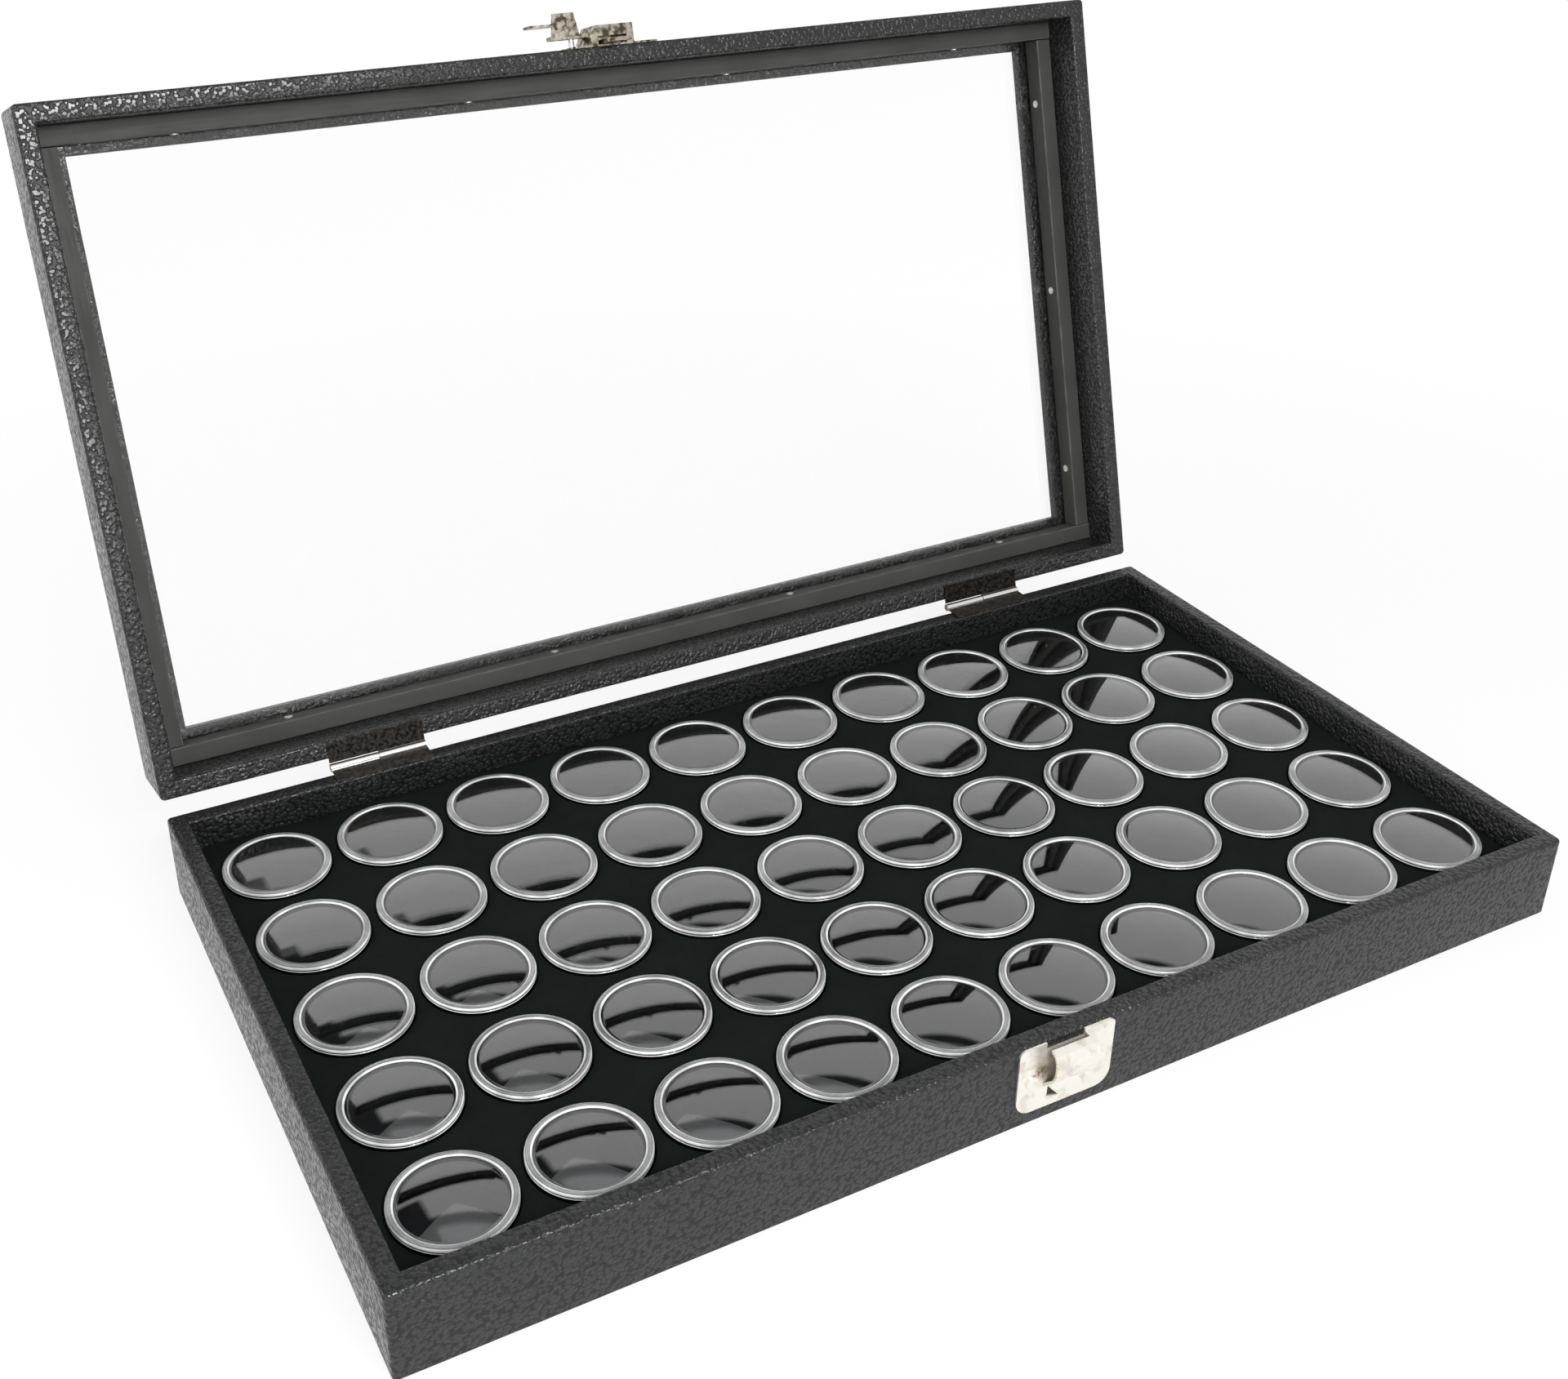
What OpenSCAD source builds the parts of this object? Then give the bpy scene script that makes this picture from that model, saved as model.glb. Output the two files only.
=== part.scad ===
// Hinged display case with a glazed lid and a foam insert that holds clear round capsules.
// Origin: middle of the underside. +X runs along the hinge line, +Y to the hinge side, +Z up.
// The lid is drawn closed and then turned open about the hinge pins.

/* [Case] */
// Length of the case along the hinge line
case_w = 375; // [362:1:450]
// Depth of the case from front to back
case_d = 210; // [194:1:260]
// Height of the base up to its rim
base_h = 28; // [26:0.5:36]
// Height of the lid from its rim to its outer face
lid_h = 28; // [26:0.5:36]
// Thickness of a side wall with its covering
wall_t = 6; // [5:0.5:8]
// Radius of the upright outer corners
corner_r = 1.5; // [1:0.1:3]
// Thickness of the leatherette covering
wrap_t = 0.4; // [0.2:0.1:0.6]
// Thickness of the bottom panel
panel_t = 3; // [2:0.5:4]
// Thickness of the paper sheet under the base
sheet_t = 0.5; // [0.3:0.1:1]
// Distance of that sheet from the outer faces
sheet_inset = 2; // [1:0.5:5]

/* [Lid] */
// Angle at which the lid stands open
lid_open_angle = 106; // [0:1:110]
// Width of the border around the window
border_w = 15; // [13.5:0.5:25]
// Thickness of the border
border_t = 4; // [3:0.5:6]
// Thickness of the window glass
glass_t = 2.4; // [2:0.1:4]
// Play between the glass and the lid walls
glass_play = 0.3; // [0.2:0.1:1]
// Width of the strips that hold the glass
strip_w = 6; // [5:0.1:7]
// Height of the strips that hold the glass
strip_h = 7.6; // [5:0.2:10]
// Gap between the end strips and the long ones
strip_gap = 0.3; // [0.1:0.1:1]
// Radius of a strip brad
brad_r = 0.6; // [0.4:0.1:1]
// Radius of a strip brad's head
brad_head_r = 1.3; // [1:0.1:1.8]
// Thickness of a strip brad's head
brad_head_t = 0.3; // [0.2:0.1:0.6]
// Depth of a strip brad in the lid wall
brad_bite = 3; // [2:0.5:4]
// Distance of the first brad from the end of a long strip
brad_end_long = 40.5; // [15:0.5:60]
// Distance of the first brad from the lid wall on a short strip
brad_end_short = 29; // [15:0.5:45]

/* [Capsules] */
// Plain edge of the insert beside the end capsules
margin_x = 2; // [1:0.1:5]
// Plain edge of the insert before and behind the capsules
margin_y = 2.8; // [1:0.1:8]
// Thickness of the foam insert
foam_t = 15; // [10:0.5:16]
// Play between the insert and the case walls
foam_play = 0.5; // [0.3:0.1:1]
// Radial play between a capsule and its hole
hole_play = 0.3; // [0.2:0.05:0.6]
// Outer diameter of a capsule
capsule_d = 32.6; // [28:0.1:34]
// Height of a closed capsule
capsule_h = 17.6; // [17:0.1:21]
// Wall of a capsule jar
jar_wall = 1.3; // [1:0.1:2]
// Floor of a capsule jar
jar_floor = 1.2; // [0.8:0.1:2]
// Thickness of a capsule lid's flange
cap_t = 1.4; // [1:0.1:2]
// Depth of the plug under a capsule lid
plug_h = 1.1; // [0.8:0.1:1.1]
// Radial clearance of the plug in its jar
plug_fit = 0.1; // [0.05:0.01:0.1]
// Thickness of the foam pad in a jar
pad_t = 5; // [2:0.5:6]
// Radial play of the pad in its jar
pad_play = 0.3; // [0.2:0.1:1]

/* [Hinges] */
// Distance of a hinge's middle from the end of the case
hinge_inset = 69; // [30:0.5:110]
// Length of a hinge
hinge_len = 32; // [20:1:50]
// Distance of the hinge axis behind the case
hinge_setback = 2.9; // [2.6:0.1:5]
// Thickness of a hinge leaf
leaf_t = 0.4; // [0.3:0.1:0.8]
// Part of the rim that a leaf covers
leaf_w = 5.4; // [4:0.1:5.8]
// Gap between the leaves of a closed hinge
leaf_gap = 0.1; // [0.1:0.05:0.3]
// Radius of the hinge barrel
barrel_r = 1.3; // [1.2:0.1:1.8]
// Radius of the hinge pin
pin_r = 0.7; // [0.5:0.05:0.8]
// Radial clearance of the pin
pin_fit = 0.05; // [0.03:0.01:0.1]
// Gap between the hinge knuckles
knuckle_gap = 0.3; // [0.2:0.1:0.6]
// Distance between the two brads of a leaf
leaf_brad_pitch = 22; // [10:1:28]
// Radius of a leaf brad
leaf_brad_r = 0.7; // [0.5:0.1:1]
// Length of a leaf brad
leaf_brad_len = 8; // [4:0.5:12]

/* [Latch] */
// Width of the two latch plates
plate_w = 31; // [29:0.5:40]
// Thickness of the latch plates
plate_t = 0.6; // [0.4:0.1:0.7]
// Height of the catch plate on the base
catch_h = 22.4; // [20:0.2:24]
// Height of the latch plate on the lid
latch_h = 20; // [17:0.5:24]
// Distance of both plates from the rims
plate_drop = 0.6; // [0.4:0.1:1]
// Radius of the plates' outer corners
plate_corner = 5; // [2:0.5:6]
// Radius of the plates' corners beside the rims
rim_corner = 2; // [0.5:0.5:2]
// Sheet thickness of the pressed humps
hump_sheet = 0.7; // [0.5:0.1:0.8]
// Half width of the catch hump
catch_hump_half = 7; // [6.6:0.1:8]
// Height of the catch hump
catch_hump_h = 14.5; // [13:0.5:15]
// Projection of the catch hump
catch_hump_out = 5.8; // [5.6:0.1:7]
// Half width of the lid hump
lid_hump_half = 6.5; // [6.2:0.1:7]
// Height of the lid hump
lid_hump_h = 12; // [11:0.5:14]
// Projection of the lid hump
lid_hump_out = 6.6; // [6.2:0.1:8]
// Travel of the slider from open to locked
slide_travel = 3.2; // [2.6:0.1:3.6]
// Depth to which the tongue reaches below the lid rim
tongue_reach = 6.5; // [6:0.1:7]
// Thickness of the slider's tongue
tongue_t = 1.2; // [0.8:0.1:1.4]
// Clearance of the slider in its guides
slider_play = 0.2; // [0.15:0.05:0.3]
// Height of the finger tab above the slider bar
tab_h = 6.9; // [4:0.1:10]
// Length of the finger rest beside the tab
rest_len = 9; // [5:0.5:12]
// Radius of the guide rivet
rivet_r = 0.9; // [0.7:0.1:1]
// Radius of a latch nail's head
nail_head_r = 1.9; // [1.4:0.1:2.2]
// Length of a latch nail's shank
nail_len = 4; // [2:0.5:4.5]

/* [Hidden] */
$fn = 48;
columns = 10;
rows = 5;
overcut = 1;

// Levels and faces of the case
half_w = case_w / 2;
half_d = case_d / 2;
hinge_x = half_w - hinge_inset;
core_t = wall_t - wrap_t;
core_w = case_w - 2 * wrap_t;
core_d = case_d - 2 * wrap_t;
panel_top = sheet_t + panel_t;
rim_z = base_h + 2 * leaf_t + leaf_gap;
hinge_y = half_d + hinge_setback;
hinge_z = base_h + leaf_t + leaf_gap / 2;
lid_top_z = rim_z + lid_h;
border_z = lid_top_z - border_t;
glass_z = border_z - glass_t;
strip_z = glass_z - strip_h;

// Capsule grid
inner_w = case_w - 2 * wall_t;
inner_d = case_d - 2 * wall_t;
long_brads = 4;
short_brads = 3;
brad_pitch_long = (inner_w - 2 * brad_end_long) / (long_brads - 1);
brad_pitch_short = (inner_d - 2 * brad_end_short) / (short_brads - 1);
pitch_x = (inner_w - 2 * margin_x) / columns;
pitch_y = (inner_d - 2 * margin_y) / rows;
capsule_r = capsule_d / 2;
jar_r = capsule_r - jar_wall;
jar_h = capsule_h - cap_t;

// Latch levels
catch_top = base_h - plate_drop;
hump_step = 0.8;
hump_top = catch_top - hump_step;
latch_z = rim_z + plate_drop;
bar_lift = 3.4;
bar_h = 5;
bar_z0 = latch_z + bar_lift;
bar_z1 = bar_z0 + bar_h;
bar_p0 = 3.4;
bar_p1 = bar_p0 + tongue_t;
bar_left = -20.5;
tongue_w = 5;
tongue_left = -5.2;
tongue_right = tongue_left + tongue_w;
foot_len = 2.8;
foot_h = 2.5;
tongue_p0 = plate_t + slider_play;
tongue_z = rim_z - tongue_reach;
slot_room = 2.7;
slot_right = tongue_right + foot_len + slot_room;
slot_out = 2.7;
slot_z = hump_top - 2 * hump_sheet;
hump_ramp = 3.5;
mouth_out = 2.6;
tab_w = 9.6;
tab_lean = 1.2;
tab_t = 0.9;
rest_rise = 3;
rest_t = 0.8;
rest_overlap = 1.5;
rivet_x = -13;
rivet_offset = 0.4;
rivet_z = bar_z0 + bar_h / 2 + rivet_offset;
rivet_head_r = 1.5;
rivet_head_t = 0.8;
nail_x = 11;
catch_nail_drop = 11.8;
catch_nail_z = catch_top - catch_nail_drop;
latch_nail_lift = 14.5;
latch_nail_z = latch_z + latch_nail_lift;
nail_head_t = 0.5;
nail_r = 0.8;

// Corners of the small nick under the catch hump: X, and distance below the plate's top
nick = [[-5.4, 15.4], [-5.6, 18.8], [-1.6, 20]];

// Shares of a catch hump's depth and height that shape its D profile
hump_shape = [[0, 0], [0.5, 0], [0.8, 0.07], [0.95, 0.18], [1, 0.32], [0.96, 0.5], [0.8, 0.68], [0, 1]];

// Helpers

// Box centred on the Z axis, from level z0 up to level z1
module slab(w, d, z0, z1) {
  translate([-w / 2, -d / 2, z0]) cube([w, d, z1 - z0]);
}

// Upright block with rounded corners, centred on the Z axis
module rounded_slab(w, d, z0, z1, r) {
  translate([0, 0, z0]) linear_extrude(z1 - z0) {
    square([w - 2 * r, d], center = true);
    square([w, d - 2 * r], center = true);
    for (sx = [-1, 1], sy = [-1, 1])
      translate([sx * (w / 2 - r), sy * (d / 2 - r)]) circle(r);
  }
}

// Turns lid pieces from closed to open about the hinge axis
module open_lid() {
  translate([0, hinge_y, hinge_z]) rotate([-lid_open_angle, 0, 0])
    translate([0, -hinge_y, -hinge_z]) children();
}

// Flat shape in X and Z, standing on the front face from p0 to p1 outwards
module on_front(p0, p1) {
  translate([0, -half_d - p0, 0]) rotate([90, 0, 0]) linear_extrude(p1 - p0) children();
}

// Profile of outward distance and height, running along X on the front face
module along_front(x0, x1) {
  translate([x1, -half_d, 0]) rotate([90, 0, -90]) linear_extrude(x1 - x0) children();
}

// Profile of X and outward distance, running up the front face
module up_front(z0, z1) {
  translate([0, -half_d, z0]) mirror([0, 1, 0]) linear_extrude(z1 - z0) children();
}

// Four-sided area in the plane between two frame outlines, on the side that faces -Y
module mitred_side(w, d, u0, u1) {
  polygon([[-w / 2 + u0, -d / 2 + u0], [w / 2 - u0, -d / 2 + u0],
           [w / 2 - u1, -d / 2 + u1], [-w / 2 + u1, -d / 2 + u1]]);
}

// Puts a piece made for the front on the left side: its length and depth are swapped
module to_left() { rotate([0, 0, -90]) children(); }
module to_right() { rotate([0, 0, 90]) children(); }
module to_back() { rotate([0, 0, 180]) children(); }

// Base

module bottom_panel() {
  color("#3a332b") slab(case_w - 2 * core_t, case_d - 2 * core_t, sheet_t, panel_top);
}

module underside_sheet() {
  color("#1b1b1c") slab(case_w - 2 * sheet_inset, case_d - 2 * sheet_inset, 0, sheet_t);
}

// Wooden core of the base, cut to the walls
module base_core() {
  difference() {
    rounded_slab(core_w, core_d, sheet_t, base_h - wrap_t, corner_r - wrap_t);
    slab(case_w - 2 * core_t, case_d - 2 * core_t, 0, base_h);
    base_leaf_brads();
    catch_nail_set();
  }
}

// Front and back walls run the full length, and the end walls stand between them
module base_long_wall(side) {
  color("#5b4632") intersection() {
    base_core();
    translate([0, side * half_d, 0]) slab(case_w, 2 * core_t, 0, base_h);
  }
}

module base_end_wall(side) {
  color("#5b4632") intersection() {
    base_core();
    translate([side * half_w, 0, 0]) slab(2 * core_t, case_d - 2 * core_t, 0, base_h);
  }
}

module base_front_wall() { base_long_wall(-1); }
module base_back_wall() { base_long_wall(1); }
module base_left_wall() { base_end_wall(-1); }
module base_right_wall() { base_end_wall(1); }

// Leatherette over the outside, the rim and the inside of the base walls
module base_wrap() {
  color("#2a2b2c") difference() {
    rounded_slab(case_w, case_d, sheet_t, base_h, corner_r);
    slab(inner_w, inner_d, 0, base_h + overcut);
    slab(case_w - 2 * core_t, case_d - 2 * core_t, 0, panel_top);
    difference() {
      rounded_slab(core_w, core_d, 0, base_h - wrap_t, corner_r - wrap_t);
      slab(case_w - 2 * core_t, case_d - 2 * core_t, 0, base_h);
    }
    base_leaf_brads();
    catch_nail_set();
  }
}

// Insert and capsules

function capsule_x(column) = (column - (columns - 1) / 2) * pitch_x;
function capsule_y(row) = ((rows - 1) / 2 - row) * pitch_y;

// Repeats a piece at every capsule of one row, counted from the back
module capsule_row(row) {
  for (column = [0 : columns - 1])
    translate([capsule_x(column), capsule_y(row), panel_top]) children();
}

// Half of the foam sheet, to one side of the middle
module foam_insert(side) {
  half_sheet = inner_w / 2 - foam_play;
  color("#101413") difference() {
    translate([side * half_sheet / 2, 0, 0])
      slab(half_sheet, inner_d - 2 * foam_play, panel_top, panel_top + foam_t);
    for (row = [0 : rows - 1])
      capsule_row(row) translate([0, 0, -overcut])
        cylinder(h = foam_t + 2 * overcut, r = capsule_r + hole_play);
  }
}

module jar() {
  difference() {
    cylinder(h = jar_h, r = capsule_r);
    translate([0, 0, jar_floor]) cylinder(h = jar_h, r = jar_r);
  }
}

module pad() {
  translate([0, 0, jar_floor]) cylinder(h = pad_t, r = jar_r - pad_play);
}

module cap() {
  translate([0, 0, jar_h]) cylinder(h = cap_t, r = capsule_r);
  translate([0, 0, jar_h - plug_h]) cylinder(h = plug_h + cap_t / 2, r = jar_r - plug_fit);
}

module jars(row) { color("#c9cdcc") capsule_row(row) jar(); }
module pads(row) { color("#121514") capsule_row(row) pad(); }
module caps(row) { color("#d8dcdb") capsule_row(row) cap(); }

// Lid

// The rounded block that the lid's outer corners are cut to
module lid_corners() {
  rounded_slab(core_w, core_d, rim_z, lid_top_z, corner_r - wrap_t);
}

// All that is drilled out of the lid rails
module lid_drilling() {
  lid_leaf_brads();
  latch_nail_set();
  strip_brad_set();
}

// One mitred rail: an upright wall with the window border on its outer edge
module lid_rail_block(turned) {
  w = turned ? case_d : case_w;
  d = turned ? case_w : case_d;
  translate([0, 0, rim_z + wrap_t]) linear_extrude(lid_h - 2 * wrap_t)
    mitred_side(w, d, wrap_t, core_t);
  translate([0, 0, border_z + wrap_t]) linear_extrude(border_t - 2 * wrap_t)
    mitred_side(w, d, wrap_t, border_w - wrap_t);
}

module finished_rail() {
  color("#5b4632") open_lid() difference() {
    intersection() {
      children();
      lid_corners();
    }
    lid_drilling();
  }
}

module lid_front_rail() { finished_rail() lid_rail_block(false); }
module lid_back_rail() { finished_rail() to_back() lid_rail_block(false); }
module lid_left_rail() { finished_rail() to_left() lid_rail_block(true); }
module lid_right_rail() { finished_rail() to_right() lid_rail_block(true); }

// Leatherette over the rim, the walls, both faces of the border and the edge of the window
module lid_wrap() {
  color("#2a2b2c") open_lid() difference() {
    rounded_slab(case_w, case_d, rim_z, lid_top_z, corner_r);
    slab(inner_w, inner_d, rim_z - overcut, border_z);
    slab(case_w - 2 * border_w, case_d - 2 * border_w, rim_z, lid_top_z + overcut);
    difference() {
      rounded_slab(core_w, core_d, rim_z + wrap_t, lid_top_z - wrap_t, corner_r - wrap_t);
      slab(case_w - 2 * core_t, case_d - 2 * core_t, rim_z, border_z + wrap_t);
      slab(case_w - 2 * (border_w - wrap_t), case_d - 2 * (border_w - wrap_t), rim_z, lid_top_z);
    }
    lid_drilling();
  }
}

module lid_glass() {
  color("#dfe6e4", 0.35) open_lid()
    slab(inner_w - 2 * glass_play, inner_d - 2 * glass_play, glass_z, border_z);
}

// Strips inside the lid wall, under the glass: the long ones run through, and the end ones stand between them
module long_strip(side) {
  translate([0, side * (inner_d - strip_w) / 2, 0]) slab(inner_w, strip_w, strip_z, glass_z);
}

module end_strip(side) {
  translate([side * (inner_w - strip_w) / 2, 0, 0])
    slab(strip_w, inner_d - 2 * (strip_w + strip_gap), strip_z, glass_z);
}

module finished_strip() {
  color("#474844") open_lid() difference() {
    children();
    strip_brad_set();
  }
}

module glass_strip_front() { finished_strip() long_strip(-1); }
module glass_strip_back() { finished_strip() long_strip(1); }
module glass_strip_left() { finished_strip() end_strip(-1); }
module glass_strip_right() { finished_strip() end_strip(1); }

// Brads driven level through one strip into the wall behind it, with or without their flat heads
module side_brads(d, count, pitch, head_t) {
  for (i = [0 : count - 1])
    translate([(i - (count - 1) / 2) * pitch, -d / 2 + wall_t + strip_w, strip_z + strip_h / 2]) {
      rotate([90, 0, 0]) cylinder(h = strip_w + wrap_t + brad_bite, r = brad_r);
      if (head_t > 0) rotate([-90, 0, 0]) cylinder(h = head_t, r = brad_head_r);
    }
}

module strip_brad_set(head_t = 0) {
  side_brads(case_d, long_brads, brad_pitch_long, head_t);
  to_back() side_brads(case_d, long_brads, brad_pitch_long, head_t);
  to_left() side_brads(case_w, short_brads, brad_pitch_short, head_t);
  to_right() side_brads(case_w, short_brads, brad_pitch_short, head_t);
}

module strip_brads() { color("#b9b6ae") open_lid() strip_brad_set(brad_head_t); }

// Hinges

hinge_bore_r = pin_r + pin_fit;
knuckle_len = (hinge_len - knuckle_gap) / 2;
leaf_back = hinge_y - barrel_r - knuckle_gap;

// Knuckle on the half of a hinge that lies on the given side of its middle
module knuckle(side) {
  x0 = side < 0 ? -hinge_len / 2 : knuckle_gap / 2;
  translate([x0, hinge_y, hinge_z]) rotate([0, 90, 0]) cylinder(h = knuckle_len, r = barrel_r);
}

// Leaf on a rim from level z0, with the tongue that joins it to its own knuckle
module leaf(z0, side) {
  x0 = side < 0 ? -hinge_len / 2 : knuckle_gap / 2;
  difference() {
    union() {
      translate([-hinge_len / 2, half_d - leaf_w, z0])
        cube([hinge_len, leaf_back - half_d + leaf_w, leaf_t]);
      translate([x0, half_d, z0]) cube([knuckle_len, hinge_setback, leaf_t]);
      knuckle(side);
    }
    translate([-hinge_len, hinge_y, hinge_z]) rotate([0, 90, 0])
      cylinder(h = 2 * hinge_len, r = hinge_bore_r);
  }
}

module base_leaf(x) {
  color("#8d8578") difference() {
    translate([x, 0, 0]) leaf(base_h, -1);
    base_leaf_brads();
  }
}

module lid_leaf(x) {
  color("#8d8578") open_lid() difference() {
    translate([x, 0, 0]) leaf(rim_z - leaf_t, 1);
    lid_leaf_brads();
  }
}

module hinge_pin(x) {
  color("#a79f92") translate([x - hinge_len / 2, hinge_y, hinge_z]) rotate([0, 90, 0])
    cylinder(h = hinge_len, r = pin_r);
}

module left_hinge_base_leaf() { base_leaf(-hinge_x); }
module left_hinge_lid_leaf() { lid_leaf(-hinge_x); }
module left_hinge_pin() { hinge_pin(-hinge_x); }
module right_hinge_base_leaf() { base_leaf(hinge_x); }
module right_hinge_lid_leaf() { lid_leaf(hinge_x); }
module right_hinge_pin() { hinge_pin(hinge_x); }

// Two flush brads in each leaf, starting at level z0 and running up
module leaf_brads(z0) {
  for (sx = [-1, 1], sb = [-1, 1])
    translate([sx * hinge_x + sb * leaf_brad_pitch / 2, half_d - leaf_w / 2, z0])
      cylinder(h = leaf_brad_len, r = leaf_brad_r);
}

module base_leaf_brads() { leaf_brads(base_h + leaf_t - leaf_brad_len); }
module lid_leaf_brads() { leaf_brads(rim_z - leaf_t); }
module base_hinge_brads() { color("#a79f92") base_leaf_brads(); }
module lid_hinge_brads() { color("#a79f92") open_lid() lid_leaf_brads(); }

// Latch

// Plate outline between two levels, with large corners at the end away from the rim
module plate_outline(z_rim, z_far) {
  low = min(z_rim, z_far);
  h = abs(z_far - z_rim);
  low_r = z_far < z_rim ? plate_corner : rim_corner;
  high_r = z_far < z_rim ? rim_corner : plate_corner;
  translate([-plate_w / 2, low + low_r]) square([plate_w, h - low_r - high_r]);
  translate([-plate_w / 2 + low_r, low]) square([plate_w - 2 * low_r, h - high_r]);
  translate([-plate_w / 2 + high_r, low + low_r]) square([plate_w - 2 * high_r, h - low_r]);
  for (sx = [-1, 1]) {
    translate([sx * (plate_w / 2 - low_r), low + low_r]) circle(low_r);
    translate([sx * (plate_w / 2 - high_r), low + h - high_r]) circle(high_r);
  }
}

// D profile of the catch hump, inset by the sheet for its hollow
module hump_profile(inset) {
  polygon([for (s = hump_shape)
    [s[0] * (catch_hump_out - inset), hump_top - inset - s[1] * (catch_hump_h - 2.4 * inset)]]);
}

module catch_plate() {
  color("#e6dfd2") difference() {
    union() {
      on_front(0, plate_t) plate_outline(catch_top, catch_top - catch_h);
      along_front(-catch_hump_half, catch_hump_half) hump_profile(0);
    }
    along_front(-catch_hump_half - overcut, catch_hump_half - hump_sheet) intersection() {
      hump_profile(hump_sheet);
      translate([plate_t, hump_top - catch_hump_h]) square([catch_hump_out, catch_hump_h]);
    }
    along_front(-catch_hump_half, slot_right) translate([-overcut, slot_z])
      square([slot_out + overcut, catch_top - slot_z + overcut]);
    on_front(-overcut, plate_t + overcut) polygon([for (c = nick) [c[0], catch_top - c[1]]]);
    catch_nail_set();
  }
}

// Round-headed nail driven into the front face
module nail(x, z) {
  translate([x, -half_d - plate_t - nail_head_t, z]) rotate([-90, 0, 0]) {
    cylinder(h = nail_head_t, r = nail_head_r);
    cylinder(h = nail_head_t + plate_t + nail_len, r = nail_r);
  }
}

module catch_nail_set() {
  nail(-nail_x, catch_nail_z);
  nail(nail_x, catch_nail_z);
}

module latch_nail_set() {
  nail(-nail_x, latch_nail_z);
  nail(nail_x, latch_nail_z);
}

module catch_nails() { color("#cfc8ba") catch_nail_set(); }
module latch_nails() { color("#cfc8ba") open_lid() latch_nail_set(); }

// Hump on the lid plate: a box with a ramp on its left, open inside
module lid_hump_profile(inset) {
  out = lid_hump_out - inset;
  polygon([[-lid_hump_half - hump_ramp + 1.6 * inset, 0], [-lid_hump_half + 0.8 * inset, out],
           [lid_hump_half - inset, out], [lid_hump_half - inset, 0]]);
}

module latch_plate() {
  color("#e6dfd2") open_lid() difference() {
    union() {
      on_front(0, plate_t) plate_outline(latch_z, latch_z + latch_h);
      up_front(latch_z, latch_z + lid_hump_h) lid_hump_profile(0);
    }
    up_front(latch_z + hump_sheet, latch_z + lid_hump_h - hump_sheet)
      translate([0, plate_t]) lid_hump_profile(hump_sheet + plate_t);
    up_front(latch_z - overcut, latch_z + 2 * hump_sheet) translate([tongue_left - overcut, plate_t])
      square([tongue_w + slide_travel + 2 * overcut, mouth_out]);
    along_front(-lid_hump_half - hump_ramp - overcut, tongue_left + overcut)
      translate([bar_p0 - slider_play, bar_z0 - slider_play])
        square([tongue_t + 2 * slider_play, bar_h + 2 * slider_play]);
    latch_nail_set();
    rivet_shape();
  }
}

// Headed rivet that guides the slider, set in the plate
module rivet_shape() {
  translate([rivet_x, -half_d, rivet_z]) rotate([90, 0, 0]) {
    cylinder(h = bar_p1 + slider_play + rivet_head_t, r = rivet_r);
    translate([0, 0, bar_p1 + slider_play]) cylinder(h = rivet_head_t, r = rivet_head_r);
  }
}

module latch_rivet() { color("#b5ad9f") open_lid() rivet_shape(); }

// Slider: bar with a guide slot, tongue with a hooked foot, finger tab and finger rest
module latch_slider() {
  slot_r = rivet_r + slider_play;
  color("#d9d1c2") open_lid() difference() {
    union() {
      on_front(bar_p0, bar_p1) translate([bar_left, bar_z0])
        square([tongue_right - bar_left, bar_h]);
      on_front(tongue_p0, bar_p1) translate([tongue_left, bar_z0])
        square([tongue_w, bar_h]);
      on_front(tongue_p0, tongue_p0 + tongue_t) translate([tongue_left, tongue_z])
        square([tongue_w, bar_z1 - tongue_z]);
      on_front(tongue_p0, tongue_p0 + tongue_t) translate([tongue_left, tongue_z])
        square([tongue_w + foot_len, foot_h]);
      up_front(bar_z0, bar_z0 + tab_t) polygon([[bar_left, bar_p0], [bar_left + tab_w, bar_p0],
        [bar_left + tab_w, bar_p1], [bar_left + tab_w - tab_lean, bar_p1 + tab_h],
        [bar_left + tab_lean, bar_p1 + tab_h], [bar_left, bar_p1]]);
      on_front(bar_p1 + rest_rise, bar_p1 + rest_rise + rest_t)
        translate([bar_left + rest_overlap - rest_len, bar_z0]) square([rest_len, bar_h]);
    }
    on_front(bar_p0 - overcut, bar_p1 + overcut) {
      translate([rivet_x - slide_travel - slider_play, rivet_z - slot_r])
        square([slide_travel + slider_play, 2 * slot_r]);
      translate([rivet_x, rivet_z]) circle(slot_r);
      translate([rivet_x - slide_travel - slider_play, rivet_z]) circle(slot_r);
    }
  }
}

bottom_panel();
underside_sheet();
base_front_wall();
base_back_wall();
base_left_wall();
base_right_wall();
base_wrap();
foam_insert(-1);  // foam_insert_left
foam_insert(1);  // foam_insert_right
jars(0);  // capsule_jars_row_1
jars(1);  // capsule_jars_row_2
jars(2);  // capsule_jars_row_3
jars(3);  // capsule_jars_row_4
jars(4);  // capsule_jars_row_5
pads(0);  // capsule_pads_row_1
pads(1);  // capsule_pads_row_2
pads(2);  // capsule_pads_row_3
pads(3);  // capsule_pads_row_4
pads(4);  // capsule_pads_row_5
caps(0);  // capsule_lids_row_1
caps(1);  // capsule_lids_row_2
caps(2);  // capsule_lids_row_3
caps(3);  // capsule_lids_row_4
caps(4);  // capsule_lids_row_5
lid_front_rail();
lid_back_rail();
lid_left_rail();
lid_right_rail();
lid_wrap();
lid_glass();
glass_strip_front();
glass_strip_back();
glass_strip_left();
glass_strip_right();
strip_brads();
left_hinge_base_leaf();
left_hinge_lid_leaf();
left_hinge_pin();
right_hinge_base_leaf();
right_hinge_lid_leaf();
right_hinge_pin();
base_hinge_brads();
lid_hinge_brads();
catch_plate();
catch_nails();
latch_plate();
latch_nails();
latch_rivet();
latch_slider();
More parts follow.
